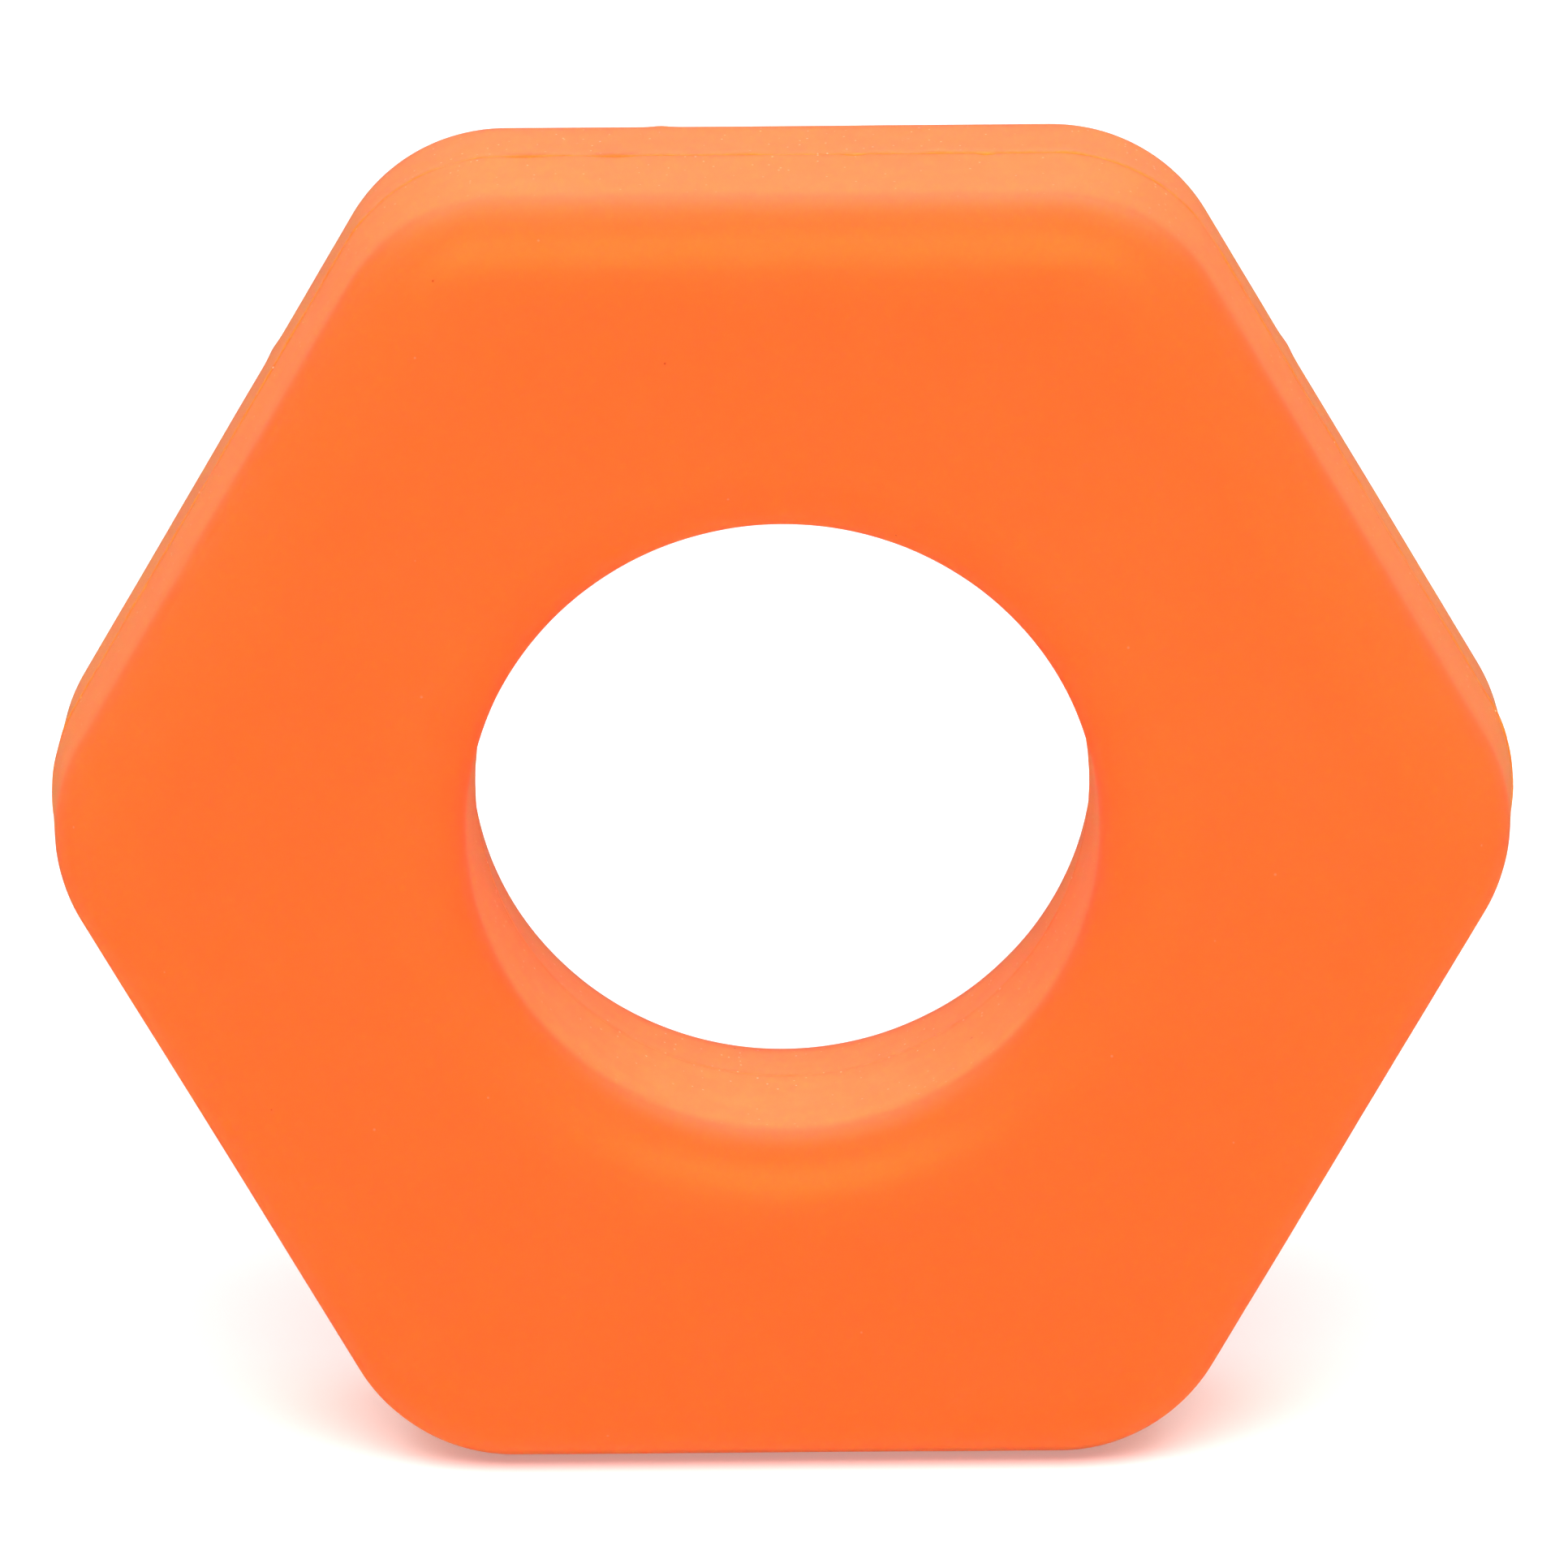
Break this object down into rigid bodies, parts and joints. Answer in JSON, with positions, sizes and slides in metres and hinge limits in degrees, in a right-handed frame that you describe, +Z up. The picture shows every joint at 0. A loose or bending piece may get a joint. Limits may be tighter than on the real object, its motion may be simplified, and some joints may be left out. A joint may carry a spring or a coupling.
{
  "type": "hexagonal silicone ring",
  "caption": "Soft translucent orange silicone ring with a hexagonal outline, rounded corners and edges, and a round hole through the middle.",
  "frame": {"origin": "middle of the hole, half-way through the thickness", "axes": "+Y along the hole axis towards the back face, -Y towards the front face, +X across two opposite rounded corners, +Z up across the flats"},
  "size_m": [0.05, 0.0144, 0.045],
  "materials": {
    "silicone": "satin"
  },
  "bodies": {
    "root": {"hex_ring": "silicone"}
  },
  "joints": []
}
